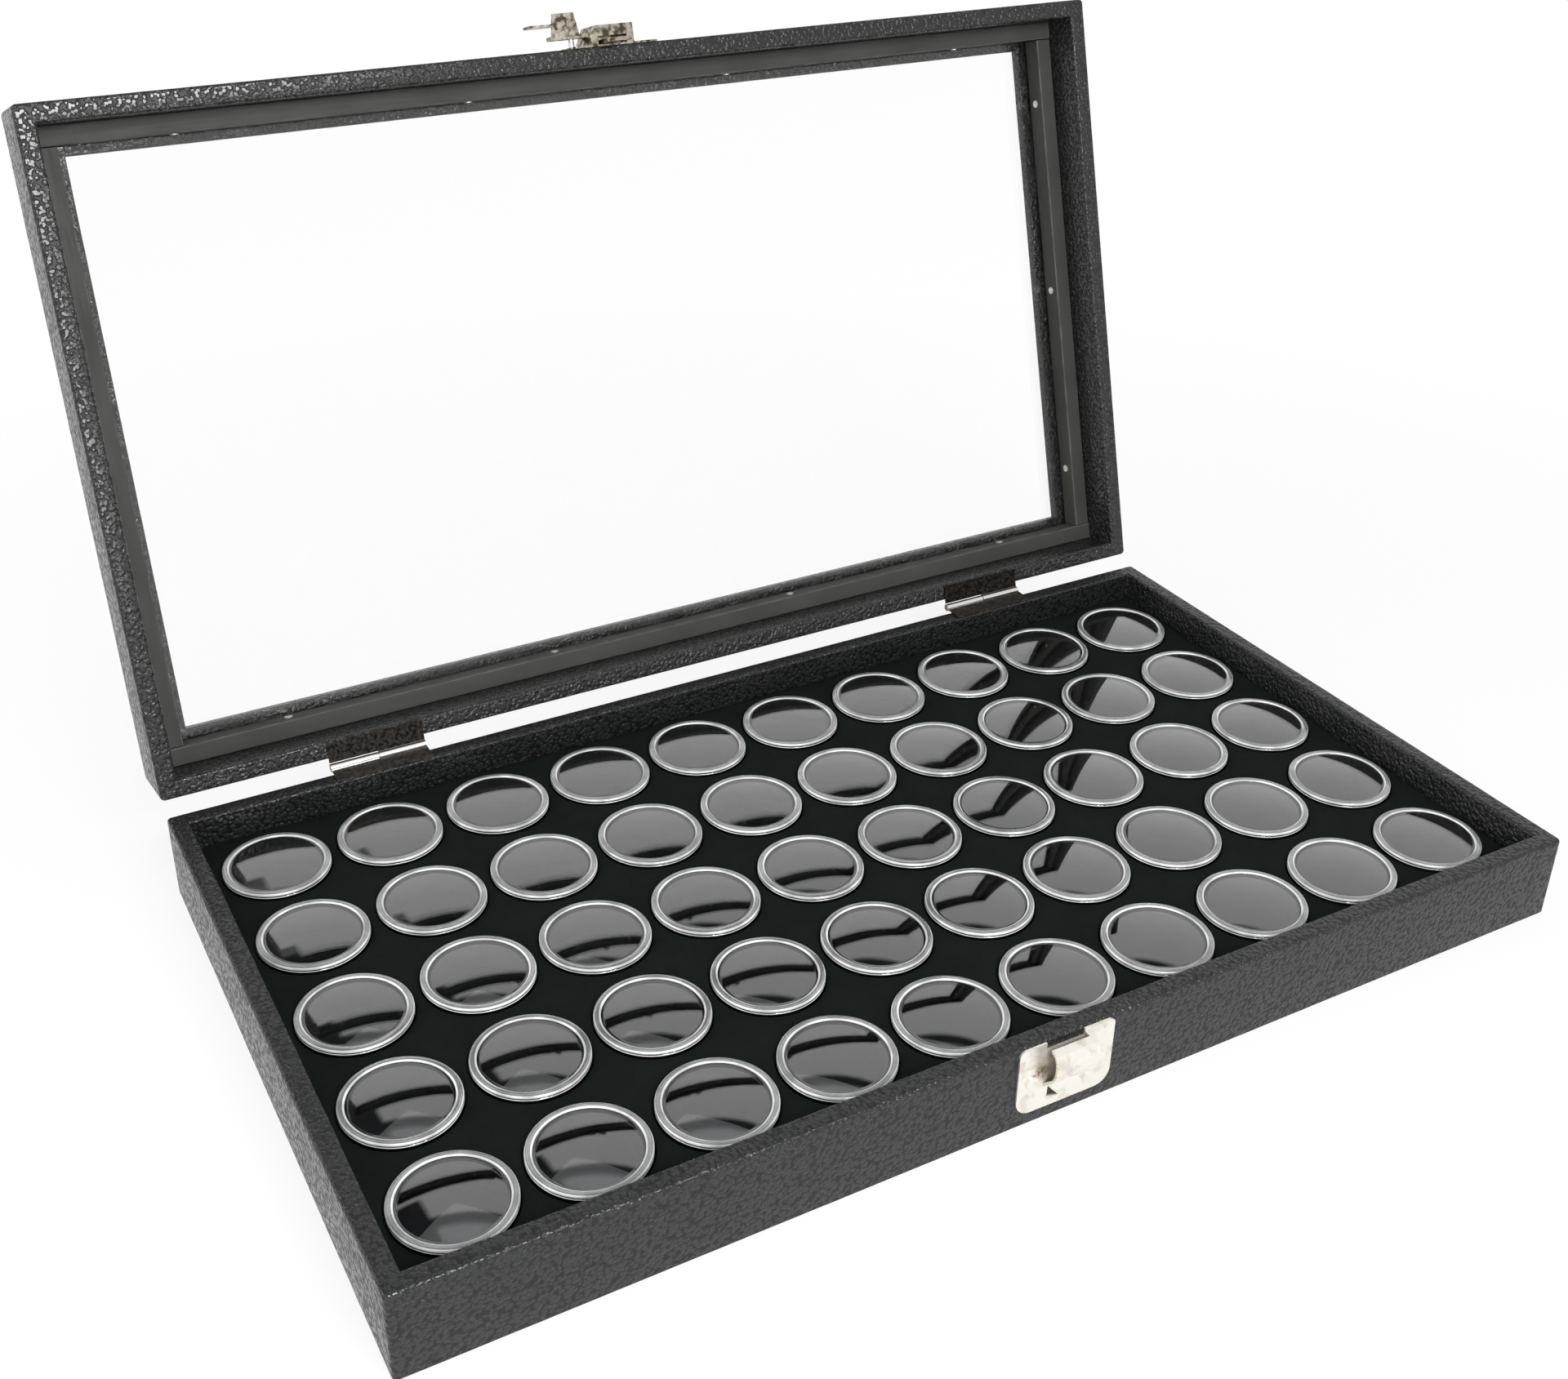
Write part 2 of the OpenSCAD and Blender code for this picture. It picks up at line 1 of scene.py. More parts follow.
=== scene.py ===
import math

import bmesh
import bpy
from mathutils import Matrix, Vector, noise

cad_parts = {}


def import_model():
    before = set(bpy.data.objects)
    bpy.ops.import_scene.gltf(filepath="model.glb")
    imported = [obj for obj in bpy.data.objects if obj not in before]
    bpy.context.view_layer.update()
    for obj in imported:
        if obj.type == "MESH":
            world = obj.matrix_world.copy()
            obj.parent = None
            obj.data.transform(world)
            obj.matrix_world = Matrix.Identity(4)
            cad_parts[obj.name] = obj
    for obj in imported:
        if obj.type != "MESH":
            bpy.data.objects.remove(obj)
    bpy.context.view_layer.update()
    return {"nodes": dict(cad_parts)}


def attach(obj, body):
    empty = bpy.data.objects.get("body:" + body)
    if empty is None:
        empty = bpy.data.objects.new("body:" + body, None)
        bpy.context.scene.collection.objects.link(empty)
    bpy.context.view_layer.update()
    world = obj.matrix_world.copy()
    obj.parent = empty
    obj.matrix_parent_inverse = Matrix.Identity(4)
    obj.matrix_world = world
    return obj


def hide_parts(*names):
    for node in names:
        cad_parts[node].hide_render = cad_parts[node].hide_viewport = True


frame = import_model()
nodes = frame["nodes"]

# Case and lid, in millimetres and degrees as in the part's source
MM = 0.001
CASE_W = 375.0
CASE_D = 210.0
BASE_H = 28.0
LID_H = 28.0
WALL_T = 6.0
WRAP_T = 0.4
CORNER_R = 1.5
SHEET_T = 0.5
PANEL_TOP = 3.5
RIM_Z = 28.9
BORDER_W = 15.0
BORDER_T = 4.0
HINGE_Y = 107.9
HINGE_Z = 28.45
LID_ANGLE = 106.0

# Capsules, their lids and their pads
COLUMNS = 10
ROWS = 5
PITCH_X = 35.9
PITCH_Y = 38.48
CAPSULE_R = 16.3
CAPSULE_H = 17.6
JAR_R = 15.0
JAR_TOP = 15.75
JAR_FLOOR = 1.2
PLUG_R = 14.9
PLUG_LOW = 15.1
DOME_R = 14.2
DOME_RISE = 1.15
DOME_T = 1.2
LIP_TOP = 16.8
CAP_PLAY = 0.05
PAD_R = 14.7
PAD_T = 5.0

# Foam insert
FOAM_T = 15.0
FOAM_HALF_W = 181.0
FOAM_HALF_D = 98.5
HOLE_R = 16.6

# Soft edges that only the scene has
EDGE_R = 0.95
HEM_R = 0.3
WINDOW_EDGE_R = 0.6
MIN_CORNER_R = 0.3
STRIP_EDGE_R = 0.55
FOAM_SOFT_R = 0.7
JAR_FOOT_R = 0.9
JAR_RIM_R = 0.4
JAR_MOUTH_R = 0.25
JAR_INSIDE_R = 0.7
PLUG_EDGE_R = 0.25
LIP_LOW_R = 0.3
LIP_HIGH_R = 0.6
LIP_IN_R = 0.42
LIP_GAP = 0.25
DOME_STEP_IN = 0.3
PAD_FOOT_R = 0.5
PAD_SHOULDER_R = 0.9
PAD_CROWN = 0.2
PAD_CROWN_IN = 1.2

# Uneven lie of the covering, waves for each metre, and of the foam, waves for each millimetre
PRESS_DEPTH = 0.08
PRESS_WAVES = 160
FOAM_SWELL = 0.12
FOAM_WAVES = 0.06

# Bands of painted light in the clear plastic, pale where its thick edges gather light and greyer in their
# core, measured from the edges they follow
JAR_BAND_IN = 0.12
JAR_BAND_H = 2.0
LIP_BAND_UP = 0.3
CORE_IN = 0.5
CORE_OUT = 0.35
CORE_DOWN = 0.3
BEYOND_R = CAPSULE_R + 1

# Steps of the meshes
LONG_STEPS = 75
SHORT_STEPS = 42
CORNER_STEPS = 5
ROUND_STEPS = 5
LATHE_SIDES = 72
PAD_SIDES = 48
PAD_STEPS = 6
DOME_STEPS = 16
CELL_STEPS = 16
FOAM_BEND_STEPS = 4
FOAM_TOP_SHARES = (0.25, 0.55)
SHARP_ANGLE = 35
FOAM_SHARP_ANGLE = 60

# Tolerances: merging in metres, the others in millimetres or as shares of a normal
MERGE_DISTANCE = 1e-6
ON_AXIS = 1e-6
ON_EDGE = 0.01
FACING = 0.9
FLAT_SHARE = 0.98

# Looks: where most of a noise lies, refraction, and the leatherette's pebbles for each metre
NOISE_SPAN = (0.3, 0.7)
FULL_SPAN = (0.0, 1.0)
PLASTIC_IOR = 1.59
GLASS_IOR = 1.46
PEBBLES = 760.0
PEBBLE_DRIFT = 0.0011
BRUSH_STRETCH = 16

# Hinge barrel: the side that gets a painted highlight, and distances from its axis in metres where that
# painted highlight fades
BARREL_FRONT = (0.0, -0.84, 0.545)
BARREL_FADE = (0.0014, 0.0016)
BARREL_HIGHLIGHT_FADE = (0.00095, 0.0012)

# Brown patches on the catch plate: place, reach and colour. In order: painted shade on the hump's open
# left end, tarnish round the nail, painted shadow in the slit beside the hump's end.
CATCH_STAINS_AND_SHADE = [
    ((-6.6, -108.0, 20.5), 4.5, (0.66, 0.56, 0.40)),
    ((-10.4, -105.7, 15.8), 2.8, (0.45, 0.30, 0.23)),
    ((-8.0, -105.7, 18.2), 3.4, (0.20, 0.12, 0.06)),
]
PATCH_CORE = 0.3

# Camera, fitted to the corners of the case in the photograph
CAMERA_PLACE = (-0.25336, -0.39567, 0.35605)
CAMERA_TARGET = (0.03479, 0.13123, 0.028)
CAMERA_ROLL = 0.568
CAMERA_LENS = 42.41
CAMERA_SENSOR = 36.0
CAMERA_SHIFT = (0.01627, -0.04286)
CAMERA_CLIP = 0.01

# Soft boxes: place, target and size in metres, then watts
MIDDLE = (0.0, 0.03, 0.06)
LIGHTS = {
    "front_box": ((-0.0415, -0.650, 0.5975), (-0.170, 0.174, 0.259), (0.34, 0.2), 5.0),
    "side_box": ((-0.170, -0.723, 0.400), (-0.221, 0.158, 0.222), (0.2, 0.36), 3.0),
    "left_box": ((-1.3, 0.3, 0.7), MIDDLE, (0.9, 0.7), 7),
    "top_box": ((0.1, 0.1, 1.5), MIDDLE, (1.6, 1.4), 6),
}
NOT_IN_GLOSS = "top_box"

# Floor and surround: sizes in metres, and the studio's tones in reflections
FLOOR_REACH = 6.0
FLOOR_FADE = (0.25, 0.6)
FLOOR_WHITENESS = (0.86, 1.0)
SURROUND_LIGHT = 0.3
WHITE = (1, 1, 1)
STUDIO_DARK = (0.04, 0.04, 0.045)
STUDIO_ABOVE = (0.6, 0.62, 0.65)
STUDIO_FRONT = (0.74, 0.74, 0.73)


def opened():
    """Matrix that turns a piece of the closed lid to where the lid stands."""
    axis = Vector((0, HINGE_Y * MM, HINGE_Z * MM))
    turn = Matrix.Rotation(math.radians(-LID_ANGLE), 4, "X")
    return Matrix.Translation(axis) @ turn @ Matrix.Translation(-axis)


# Mesh helpers

def between(first, second, share):
    """Point on the way from one point to another."""
    return tuple(a + (b - a) * share for a, b in zip(first, second))


def at_level(points, level):
    """Flat points raised to a level."""
    return [(x, y, level) for x, y in points]


def on_circle(centre, radius, angles):
    """Points on a circle, angles in radians."""
    return [(centre[0] + radius * math.cos(a), centre[1] + radius * math.sin(a)) for a in angles]


def arc(centre, radius, start, end, steps):
    """Points on an arc, angles in degrees."""
    angles = [math.radians(start + (end - start) * i / steps) for i in range(steps + 1)]
    return on_circle(centre, radius, angles)


def rounded(corners):
    """Closed outline whose corners (x, y, radius) are rounded."""
    outline = []
    count = len(corners)
    for i, (x, y, radius) in enumerate(corners):
        if radius <= 0:
            outline.append((x, y))
            continue
        here = Vector((x, y))
        before = (Vector(corners[i - 1][:2]) - here).normalized()
        after = (Vector(corners[(i + 1) % count][:2]) - here).normalized()
        half = before.angle(after) / 2
        reach = radius / math.tan(half)
        centre = here + (before + after).normalized() * (radius / math.sin(half))
        first = here + before * reach - centre
        last = here + after * reach - centre
        for k in range(ROUND_STEPS + 1):
            spoke = first.lerp(last, k / ROUND_STEPS).normalized() * radius
            outline.append(tuple(centre + spoke))
    return outline


def band(low, high, around):
    """Faces between two closed rings of vertices that start at two indices."""
    faces = []
    for a in range(around):
        b = (a + 1) % around
        faces.append((low + a, low + b, high + b, high + a))
    return faces


def rectangle_loop(half_w, half_d, radius):
    """Points round a rectangle with rounded corners, the same count for every inset."""
    arcs = []
    for sx, sy, start in ((1, -1, -90), (1, 1, 0), (-1, 1, 90), (-1, -1, 180)):
        centre = (sx * (half_w - radius), sy * (half_d - radius))
        arcs.append(arc(centre, radius, start, start + 90, CORNER_STEPS))
    loop = []
    for k, corner in enumerate(arcs):
        goal = arcs[(k + 1) % len(arcs)][0]
        steps = SHORT_STEPS if k % 2 == 0 else LONG_STEPS
        loop += corner
        loop += [between(corner[-1], goal, i / steps) for i in range(1, steps)]
    return loop


def ring_sweep(section):
    """Closed section of (inset, height) swept round the case's outline."""
    verts = []
    faces = []
    for inset, height in section:
        radius = max(CORNER_R - inset, MIN_CORNER_R)
        verts += at_level(rectangle_loop(CASE_W / 2 - inset, CASE_D / 2 - inset, radius), height)
    count = len(section)
    around = len(verts) // count
    for i in range(count):
        after = (i + 1) % count
        faces += band(i * around, after * around, around)
    return verts, faces


def lathe(profile, count=LATHE_SIDES):
    """Closed surface from a profile of (radius, height) that starts and ends on the axis."""
    verts = []
    faces = []
    rings = []
    for radius, height in profile:
        start = len(verts)
        if radius < ON_AXIS:
            rings.append([start])
            verts.append((0, 0, height))
            continue
        rings.append(list(range(start, start + count)))
        for i in range(count):
            a = 2 * math.pi * i / count
            verts.append((radius * math.cos(a), radius * math.sin(a), height))
    for low, high in zip(rings, rings[1:]):
        for i in range(count):
            j = (i + 1) % count
            if len(low) == 1:
                faces.append((low[0], high[j], high[i]))
            elif len(high) == 1:
                faces.append((low[i], low[j], high[0]))
            else:
                faces.append((low[i], low[j], high[j], high[i]))
    return verts, faces


def piece(name, verts, faces, material, body, matrix=None, sharp=SHARP_ANGLE):
    """Object in metres from a mesh in millimetres, smooth shaded, riding on a body."""
    mesh = bpy.data.meshes.new(name)
    mesh.from_pydata([Vector(v) * MM for v in verts], [], faces)
    bm = bmesh.new()
    bm.from_mesh(mesh)
    bmesh.ops.remove_doubles(bm, verts=bm.verts, dist=MERGE_DISTANCE)
    bmesh.ops.recalc_face_normals(bm, faces=bm.faces)
    bm.to_mesh(mesh)
    bm.free()
    if matrix:
        mesh.transform(matrix)
    mesh.shade_smooth()
    mesh.set_sharp_from_angle(angle=math.radians(sharp))
    mesh.materials.append(material)
    obj = bpy.data.objects.new(name, mesh)
    bpy.context.scene.collection.objects.link(obj)
    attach(obj, body)
    return obj


def repeated(verts, faces, places):
    """One mesh copied to several places."""
    all_verts = []
    all_faces = []
    for px, py, pz in places:
        start = len(all_verts)
        all_verts += [(x + px, y + py, z + pz) for x, y, z in verts]
        all_faces += [tuple(i + start for i in face) for face in faces]
    return all_verts, all_faces


def press_in(obj):
    """Moves the surface inwards a little, unevenly, as a glued covering lies."""
    mesh = obj.data
    normals = [n.vector.copy() for n in mesh.vertex_normals]
    for vertex, normal in zip(mesh.vertices, normals):
        share = 0.5 + 0.5 * noise.noise(vertex.co * PRESS_WAVES)
        vertex.co -= normal * PRESS_DEPTH * MM * share
    mesh.update()


# Material helpers

def new_material(name):
    """Material with its node tree and its one shader."""
    material = bpy.data.materials.new(name)
    material.use_nodes = True
    tree = material.node_tree
    return material, tree, tree.nodes["Principled BSDF"]


def feed(tree, socket, value):
    """Gives an input its value: a link from another socket, or a plain value."""
    if isinstance(value, bpy.types.NodeSocket):
        tree.links.new(value, socket)
    else:
        socket.default_value = value


def set_inputs(tree, node, **inputs):
    """Feeds a node's inputs by name, with underscores for spaces."""
    for key, value in inputs.items():
        feed(tree, node.inputs[key.replace("_", " ")], value)


def add(tree, kind, **inputs):
    """New node with its inputs set."""
    node = tree.nodes.new(kind)
    set_inputs(tree, node, **inputs)
    return node


def place(tree):
    """The point on the object, in metres."""
    return add(tree, "ShaderNodeTexCoord").outputs["Object"]


def ramp(tree, value, stops):
    """Colour ramp from a list of (position, colour)."""
    node = add(tree, "ShaderNodeValToRGB", Fac=value)
    points = node.color_ramp.elements
    while len(points) < len(stops):
        points.new(0.5)
    for point, (position, colour) in zip(points, stops):
        point.position = position
        point.color = (*colour, 1)
    return node.outputs["Color"]


def remap(tree, value, span, to):
    """A value's span (low, high) moved to another one, and held at its ends."""
    node = add(tree, "ShaderNodeMapRange", Value=value)
    set_inputs(tree, node, From_Min=span[0], From_Max=span[1], To_Min=to[0], To_Max=to[1])
    return node.outputs["Result"]


def bump(tree, height, distance, strength, under=None):
    """Normal raised by a height, on top of another normal if there is one."""
    node = add(tree, "ShaderNodeBump", Height=height, Distance=distance, Strength=strength)
    if under:
        tree.links.new(under, node.inputs["Normal"])
    return node.outputs["Normal"]


def noise_value(tree, scale, detail, vector=None):
    """Noise between 0 and 1, scale for each metre."""
    vector = vector or place(tree)
    return add(tree, "ShaderNodeTexNoise", Vector=vector, Scale=scale, Detail=detail).outputs["Fac"]


def drawn_out(tree, share):
    """The point on the object with less of its x, so that noise runs along x."""
    return add(tree, "ShaderNodeMapping", Vector=place(tree), Scale=(share, 1.0, 1.0)).outputs["Vector"]


def number_math(tree, operation, first, second):
    """Result of an operation on two numbers."""
    node = tree.nodes.new("ShaderNodeMath")
    node.operation = operation
    feed(tree, node.inputs[0], first)
    feed(tree, node.inputs[1], second)
    return node.outputs[0]


def vector_math(tree, operation, first, second=(0, 0, 0)):
    """Result of an operation on vectors: a vector, or a number if the operation measures."""
    node = tree.nodes.new("ShaderNodeVectorMath")
    node.operation = operation
    feed(tree, node.inputs[0], first)
    feed(tree, node.inputs[1], second)
    measures = operation in ("LENGTH", "DISTANCE", "DOT_PRODUCT")
    return node.outputs["Value" if measures else "Vector"]


def mixed(tree, share, first, second):
    """Colour between two colours; each is a socket or a plain colour."""
    node = tree.nodes.new("ShaderNodeMix")
    node.data_type = "RGBA"
    feed(tree, node.inputs[0], share)
    for socket, colour in ((node.inputs[6], first), (node.inputs[7], second)):
        feed(tree, socket, (*colour, 1) if isinstance(colour, tuple) else colour)
    return node.outputs[2]


def show_mix(tree, share, first, second, output):
    """Sends a mix of two shader nodes to an output node."""
    mix = tree.nodes.new("ShaderNodeMixShader")
    for socket, value in zip(mix.inputs, (share, first.outputs[0], second.outputs[0])):
        tree.links.new(value, socket)
    tree.links.new(mix.outputs[0], tree.nodes[output].inputs["Surface"])


# Materials

def leatherette_material(name, specular):
    """Black embossed leatherette: pebbles a little over 1 mm across with creases between them."""
    material, tree, shader = new_material(name)
    wander = add(tree, "ShaderNodeTexNoise", Vector=place(tree), Scale=PEBBLES, Detail=2.0)
    drift = vector_math(tree, "MULTIPLY", wander.outputs["Color"], (PEBBLE_DRIFT,) * 3)
    moved = vector_math(tree, "ADD", place(tree), drift)
    cells = add(tree, "ShaderNodeTexVoronoi", Vector=moved, Scale=PEBBLES)
    cells.feature = "SMOOTH_F1"
    set_inputs(tree, cells, Smoothness=0.35)
    dome = remap(tree, cells.outputs["Distance"], (0.38, 0.74), (1.0, 0.0))
    coarse = bump(tree, dome, distance=0.00026, strength=0.9)
    fine = noise_value(tree, 3800.0, detail=2.0)
    # Painted shade: the colour darkens into the creases between the pebbles and is palest on their tops.
    tone = ramp(tree, dome, [
        (0.0, (0.003, 0.0033, 0.0032)),
        (0.5, (0.009, 0.0095, 0.0094)),
        (1.0, (0.015, 0.0156, 0.0155)),
    ])
    set_inputs(
        tree, shader,
        Base_Color=tone,
        Roughness=remap(tree, dome, FULL_SPAN, (0.5, 0.2)),
        Normal=bump(tree, fine, distance=0.00005, strength=0.15, under=coarse),
        Specular_IOR_Level=specular,
    )
    return material


def foam_material():
    """Near-black fine foam with a dull skin."""
    material, tree, shader = new_material("black_foam")
    fine = noise_value(tree, 2600.0, detail=3.0)
    broad = noise_value(tree, 90.0, detail=2.0)
    set_inputs(
        tree, shader,
        Base_Color=ramp(tree, broad, [(0.3, (0.0025, 0.0042, 0.0036)), (0.7, (0.004, 0.0062, 0.0054))]),
        Roughness=remap(tree, fine, NOISE_SPAN, (0.8, 1.0)),
        Normal=bump(tree, fine, distance=0.00012, strength=0.7),
        Specular_IOR_Level=0.12,
    )
    return material


def plastic_material():
    """Clear moulded plastic with faint flow waves and fine scuffs."""
    material, tree, shader = new_material("clear_plastic")
    scuffs = noise_value(tree, 700.0, detail=4.0)
    waves = noise_value(tree, 80.0, detail=1.0)
    set_inputs(
        tree, shader,
        Base_Color=(0.985, 0.99, 0.985, 1),
        Transmission_Weight=1.0,
        IOR=PLASTIC_IOR,
        Roughness=remap(tree, scuffs, (0.66, 0.9), (0.0, 0.05)),
        Coat_Weight=0.6,
        Coat_Roughness=0.0,
        Normal=bump(tree, waves, distance=0.00005, strength=0.12),
    )
    return material


def rim_material(name, tint, clearness):
    """The same plastic at its thick rounded edges, painted pale and partly opaque: painted light that
    stands in for the light these edges gather, dimmed in random blotches.
    """
    material, tree, shader = new_material(name)
    blotch = noise_value(tree, 130.0, detail=2.0)
    scuffs = noise_value(tree, 900.0, detail=4.0)
    dents = noise_value(tree, 420.0, detail=2.0)
    shaded = tuple(0.6 * share for share in tint)
    set_inputs(
        tree, shader,
        Base_Color=ramp(tree, blotch, [(0.35, shaded), (0.6, tint)]),
        Transmission_Weight=clearness,
        IOR=PLASTIC_IOR,
        Roughness=remap(tree, scuffs, (0.4, 0.8), (0.04, 0.16)),
        Coat_Weight=1.0,
        Coat_Roughness=0.03,
        Normal=bump(tree, dents, distance=0.00012, strength=0.35),
    )
    return material


def glass_material():
    """Clear window glass with a faint float wave."""
    material, tree, shader = new_material("window_glass")
    smears = noise_value(tree, 60.0, detail=4.0)
    waves = noise_value(tree, 14.0, detail=1.0)
    set_inputs(
        tree, shader,
        Base_Color=(1.0, 1.0, 1.0, 1),
        Transmission_Weight=1.0,
        IOR=GLASS_IOR,
        Roughness=remap(tree, smears, (0.66, 0.95), (0.0, 0.02)),
        Normal=bump(tree, waves, distance=0.0001, strength=0.1),
    )
    return material


def strip_material(name, stretch):
    """Dark satin paint on smooth wooden strips, with faint brush lines along them."""
    material, tree, shader = new_material(name)
    lean = (math.radians(90 - LID_ANGLE), 0, 0)
    brushed = add(tree, "ShaderNodeMapping", Vector=place(tree), Rotation=lean, Scale=stretch)
    brushed.vector_type = "TEXTURE"
    lines = noise_value(tree, 900.0, detail=3.0, vector=brushed.outputs["Vector"])
    broad = noise_value(tree, 45.0, detail=2.0)
    set_inputs(
        tree, shader,
        Base_Color=ramp(tree, broad, [(0.3, (0.04, 0.041, 0.0375)), (0.7, (0.055, 0.056, 0.051))]),
        Roughness=remap(tree, lines, NOISE_SPAN, (0.55, 0.7)),
        Normal=bump(tree, lines, distance=0.00006, strength=0.4),
        Specular_IOR_Level=0.25,
    )
    return material


def strip_edge_material():
    """The strips' paint along their edges, paler and glossier: partly rubbed paint, partly a painted
    highlight along the rounded edges.
    """
    material, tree, shader = new_material("dark_strip_edge_painted_highlight")
    rubs_and_highlight = noise_value(tree, 160.0, detail=3.0)
    fine = noise_value(tree, 900.0, detail=2.0)
    set_inputs(
        tree, shader,
        Base_Color=ramp(tree, rubs_and_highlight, [(0.35, (0.05, 0.051, 0.047)), (0.65, (0.085, 0.086, 0.081))]),
        Roughness=remap(tree, rubs_and_highlight, NOISE_SPAN, (0.6, 0.5)),
        Normal=bump(tree, fine, distance=0.00004, strength=0.4),
        Specular_IOR_Level=0.3,
    )
    return material


def stain_and_shade_patch(tree, at, reach, patchy):
    """1 near a point, fading unevenly to 0 at a distance from it, all in millimetres."""
    apart = vector_math(tree, "DISTANCE", place(tree), Vector(at) * MM)
    near = remap(tree, apart, (PATCH_CORE * reach * MM, reach * MM), (1.0, 0.0))
    return number_math(tree, "MULTIPLY", near, patchy)


def nickel_material(name, stains_and_shade):
    """Bright warm nickel plating with fine scratches, brown tarnish by the nail, and brown painted shade
    and shadow at the catch hump's open end.
    """
    material, tree, shader = new_material(name)
    blotch = noise_value(tree, 260.0, detail=4.0)
    tone = ramp(tree, blotch, [(0.3, (0.57, 0.51, 0.43)), (0.5, (0.75, 0.725, 0.665))])
    patchy = remap(tree, noise_value(tree, 700.0, detail=3.0), (0.35, 0.6), (0.15, 1.0))
    # Brown patches near given points: tarnish, and painted shade and shadow at the catch hump's open end.
    for at, reach, colour in stains_and_shade:
        tone = mixed(tree, stain_and_shade_patch(tree, at, reach, patchy), tone, colour)
    scratches = noise_value(tree, 4200.0, detail=2.0, vector=drawn_out(tree, 0.15))
    dents = bump(tree, noise_value(tree, 240.0, detail=1.0), distance=0.0002, strength=0.25)
    set_inputs(
        tree, shader,
        Base_Color=tone,
        Metallic=0.6,
        Roughness=remap(tree, blotch, NOISE_SPAN, (0.3, 0.2)),
        Normal=bump(tree, scratches, distance=0.00002, strength=0.4, under=dents),
    )
    return material


def hinge_material(name, low, high):
    """Hinge metal: a painted highlight of pale smooth metal in a band along the front of the barrel, dull
    dark bronze on the leaves.
    """
    material, tree, shader = new_material(name)
    apart = vector_math(tree, "SUBTRACT", place(tree), Vector((0, HINGE_Y, HINGE_Z)) * MM)
    across = vector_math(tree, "MULTIPLY", apart, (0, 1, 1))
    barrel = remap(tree, vector_math(tree, "LENGTH", across), BARREL_FADE, (1.0, 0.0))
    # Painted highlight: the pale, smooth metal goes only on the barrel's front band, where the highlight
    # falls.
    forward = vector_math(tree, "DOT_PRODUCT", across, BARREL_FRONT)
    highlight_side = remap(tree, forward, BARREL_HIGHLIGHT_FADE, (0.15, 1.0))
    painted_highlight = number_math(tree, "MULTIPLY", barrel, highlight_side)
    blotch = noise_value(tree, 900.0, detail=4.0)
    bronze = ramp(tree, blotch, [(0.38, low), (0.66, high)])
    set_inputs(
        tree, shader,
        Base_Color=mixed(tree, painted_highlight, bronze, (0.9, 0.88, 0.84)),
        Metallic=1.0,
        Roughness=remap(tree, painted_highlight, FULL_SPAN, (0.5, 0.2)),
        Normal=bump(tree, blotch, distance=0.00008, strength=0.5),
    )
    return material


def worn_nickel_material():
    """Duller plating of the latch, browned where fingers rub it."""
    material, tree, shader = new_material("worn_nickel")
    blotch = noise_value(tree, 520.0, detail=4.0)
    set_inputs(
        tree, shader,
        Base_Color=ramp(tree, blotch, [(0.4, (0.05, 0.04, 0.026)), (0.62, (0.46, 0.42, 0.34))]),
        Metallic=1.0,
        Roughness=remap(tree, blotch, NOISE_SPAN, (0.38, 0.22)),
        Normal=bump(tree, blotch, distance=0.0001, strength=0.3),
    )
    return material


def steel_material():
    """Plain steel of the brads."""
    material, tree, shader = new_material("steel")
    blotch = noise_value(tree, 420.0, detail=5.0)
    fine = noise_value(tree, 2500.0, detail=2.0)
    set_inputs(
        tree, shader,
        Base_Color=ramp(tree, blotch, [(0.3, (0.5, 0.48, 0.45)), (0.65, (0.74, 0.72, 0.69))]),
        Metallic=1.0,
        Roughness=remap(tree, blotch, NOISE_SPAN, (0.5, 0.3)),
        Normal=bump(tree, fine, distance=0.00003, strength=0.5),
    )
    return material


def wood_material():
    """Plain softwood under the covering."""
    material, tree, shader = new_material("wood_core")
    grain = noise_value(tree, 420.0, detail=4.0, vector=drawn_out(tree, 0.05))
    set_inputs(
        tree, shader,
        Base_Color=ramp(tree, grain, [(0.3, (0.22, 0.13, 0.07)), (0.7, (0.42, 0.28, 0.16))]),
        Roughness=remap(tree, grain, NOISE_SPAN, (0.6, 0.75)),
        Normal=bump(tree, grain, distance=0.0002, strength=0.5),
    )
    return material


def board_material():
    """Brown hardboard of the bottom panel."""
    material, tree, shader = new_material("hardboard")
    fibres = noise_value(tree, 800.0, detail=5.0)
    set_inputs(
        tree, shader,
        Base_Color=ramp(tree, fibres, [(0.3, (0.06, 0.035, 0.018)), (0.7, (0.14, 0.085, 0.045))]),
        Roughness=remap(tree, fibres, NOISE_SPAN, (0.65, 0.85)),
        Normal=bump(tree, fibres, distance=0.0001, strength=0.6),
    )
    return material


def paper_material():
    """Black lining paper under the base, with soft fibres and scuffs."""
    material, tree, shader = new_material("lining_paper")
    fibres = noise_value(tree, 1500.0, detail=5.0)
    scuffs = noise_value(tree, 30.0, detail=4.0)
    set_inputs(
        tree, shader,
        Base_Color=ramp(tree, scuffs, [(0.35, (0.012, 0.012, 0.013)), (0.75, (0.035, 0.034, 0.034))]),
        Roughness=remap(tree, fibres, NOISE_SPAN, (0.7, 0.9)),
        Normal=bump(tree, fibres, distance=0.00008, strength=0.6),
    )
    return material


# Coverings

